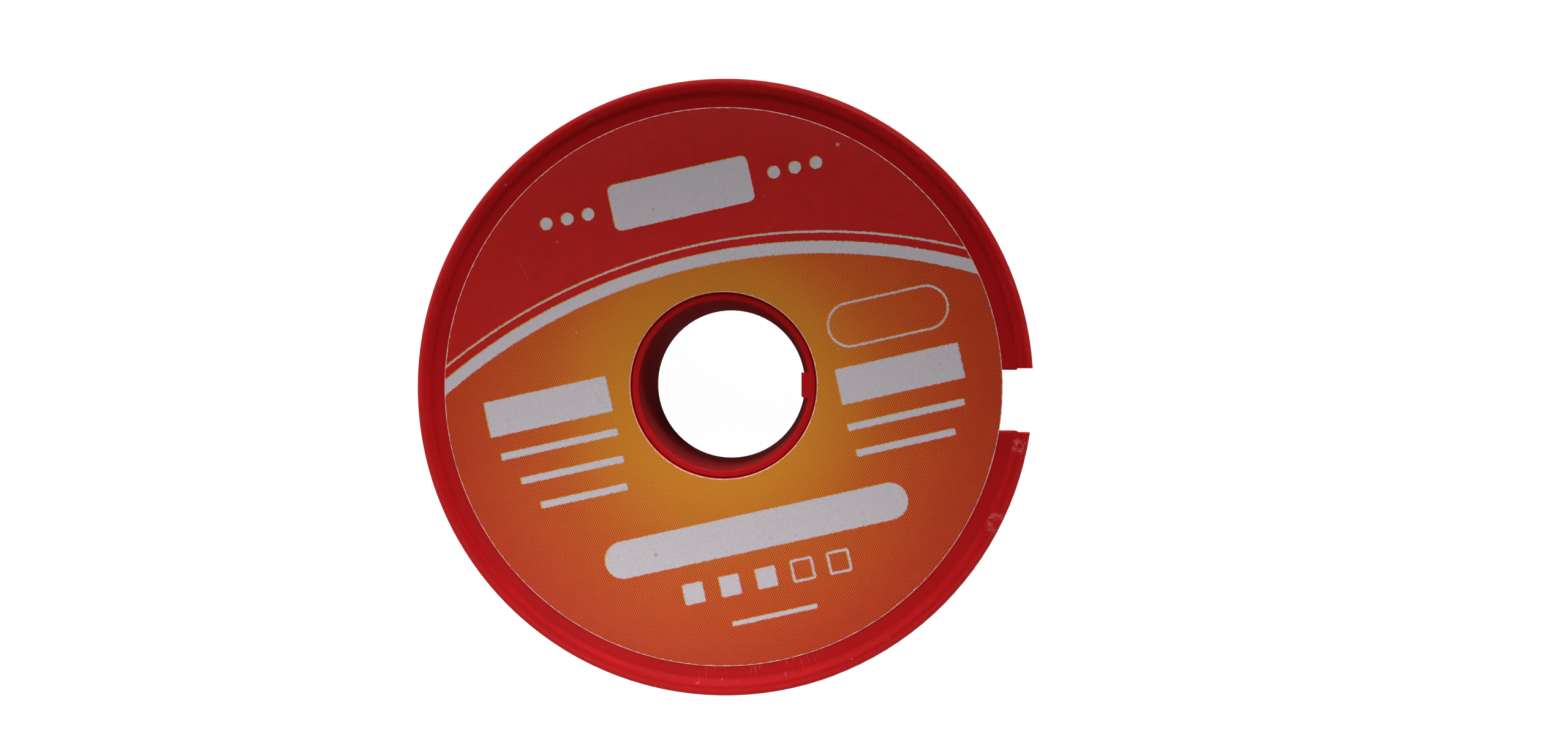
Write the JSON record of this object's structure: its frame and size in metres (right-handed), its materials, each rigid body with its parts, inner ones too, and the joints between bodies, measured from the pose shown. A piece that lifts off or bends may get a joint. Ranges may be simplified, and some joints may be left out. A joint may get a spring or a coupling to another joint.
{
  "type": "solder wire spool",
  "caption": "Small flanged plastic spool wound with solder wire, with a rolled rim, a printed paper label, a wire notch and a round bore for a spindle.",
  "frame": {"origin": "centre of the rear flange's rim face, on the surface that the spool lies on", "axes": "+Z along the spool's axis, out of the labelled front flange; +X towards the wire notch"},
  "size_m": [0.06, 0.06, 0.0188],
  "materials": {
    "plastic": "satin red moulding",
    "label": "printed, semi-gloss, red to yellow-orange",
    "solder": "drawn solder wire, bright to dull grey"
  },
  "bodies": {
    "root": {"spool_body": "plastic", "front_flange": "plastic", "front_label": "label", "solder_inner_layers": "solder", "solder_outer_layer": "solder"}
  },
  "joints": []
}
